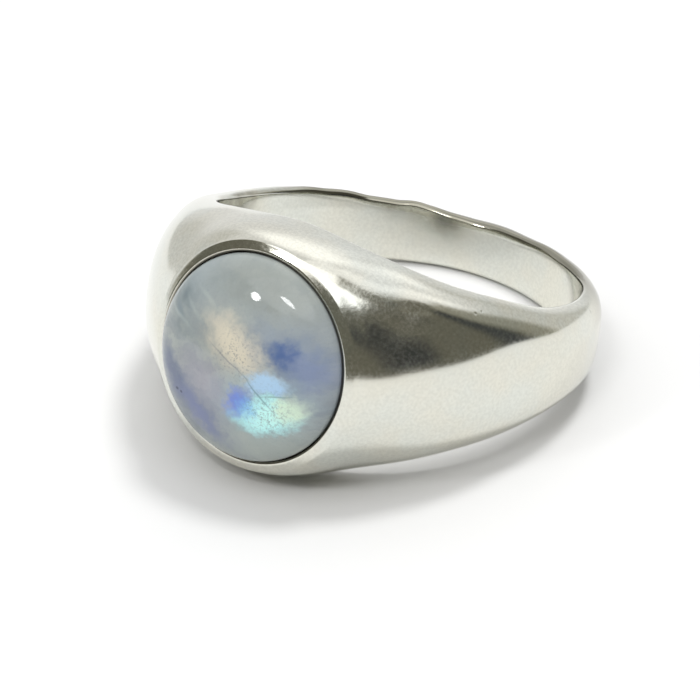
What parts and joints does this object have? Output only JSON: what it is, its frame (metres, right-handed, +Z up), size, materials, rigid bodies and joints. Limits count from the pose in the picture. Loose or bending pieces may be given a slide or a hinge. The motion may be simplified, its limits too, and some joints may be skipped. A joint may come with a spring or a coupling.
{
  "type": "moonstone cabochon ring",
  "caption": "Finger ring of smooth silver with a wide signet-style head, a tapering band and a raised bezel that holds a domed oval moonstone.",
  "frame": {"origin": "on the surface that the ring lies on, under the middle of its bounding box", "axes": "+Z up from the surface; -Y towards the stone; X across the stone. The finger's axis leans 14 degrees from +Z towards +Y, because the ring rests on the lower edge of its head and of its back"},
  "size_m": [0.0204, 0.0236, 0.0118],
  "materials": {
    "silver": "polished silver with a fine satin grain",
    "moonstone": "polished translucent cabochon with a blue sheen"
  },
  "bodies": {
    "root": {"band": "silver", "stone": "moonstone"}
  },
  "joints": []
}
